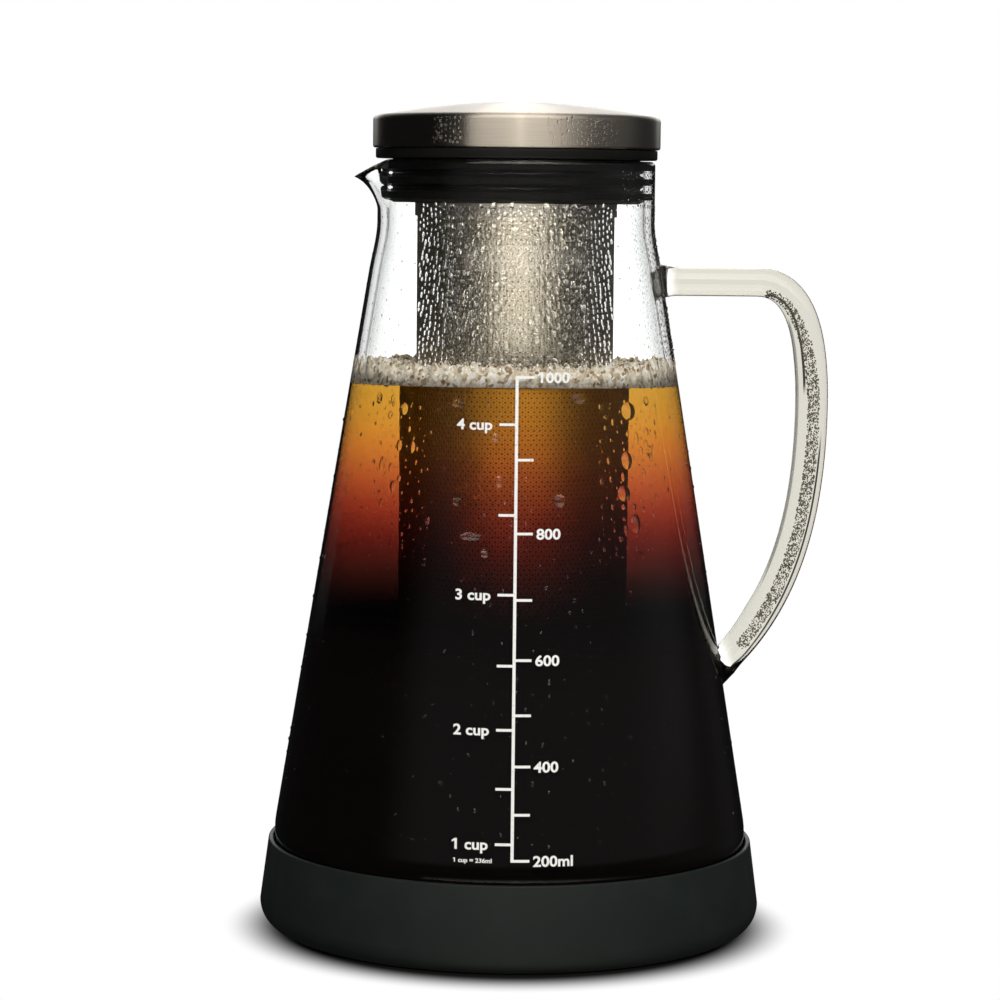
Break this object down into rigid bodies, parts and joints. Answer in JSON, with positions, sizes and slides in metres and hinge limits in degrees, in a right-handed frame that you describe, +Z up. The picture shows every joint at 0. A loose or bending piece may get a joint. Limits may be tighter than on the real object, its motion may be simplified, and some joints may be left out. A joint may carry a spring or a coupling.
{
  "type": "cold brew coffee maker",
  "caption": "Conical glass carafe with a pouring lip and a bent rod handle, standing in a silicone boot, with a hanging steel mesh filter and a domed plug lid.",
  "frame": {"origin": "middle of the boot's flat underside, on the brewer's axis, at table level", "axes": "+Z up along the brewer's axis, +X towards the handle, -X towards the pouring lip"},
  "size_m": [0.1407, 0.1252, 0.2046],
  "materials": {
    "boot_silicone": "matte charcoal silicone",
    "carafe_glass": "clear borosilicate glass",
    "handle_glass": "clear glass rod",
    "stopper_silicone": "black silicone",
    "collar_steel": "satin",
    "screen_steel": "finely perforated",
    "cap_steel": "satin",
    "lid_steel": "brushed round the side",
    "plug_plastic": "moulded",
    "seal_silicone": "matte silicone"
  },
  "bodies": {
    "boot": {"base_boot": "boot_silicone"},
    "carafe": {"carafe_glass": "carafe_glass", "carafe_handle": "handle_glass"},
    "filter": {"neck_stopper": "stopper_silicone", "filter_collar": "collar_steel", "filter_screen": "screen_steel", "filter_end_cap": "cap_steel"},
    "lid": {"lid_shell": "lid_steel", "lid_core": "plug_plastic", "lid_seal": "seal_silicone"}
  },
  "joints": [
    {"name": "carafe_lift", "type": "slide", "parent": "boot", "child": "carafe", "axis": [0, 0, 1], "range_m": [0, 0.03]},
    {"name": "filter_lift", "type": "slide", "parent": "carafe", "child": "filter", "axis": [0, 0, 1], "range_m": [0, 0.18]},
    {"name": "lid_lift", "type": "slide", "parent": "filter", "child": "lid", "axis": [0, 0, 1], "range_m": [0, 0.03]}
  ]
}
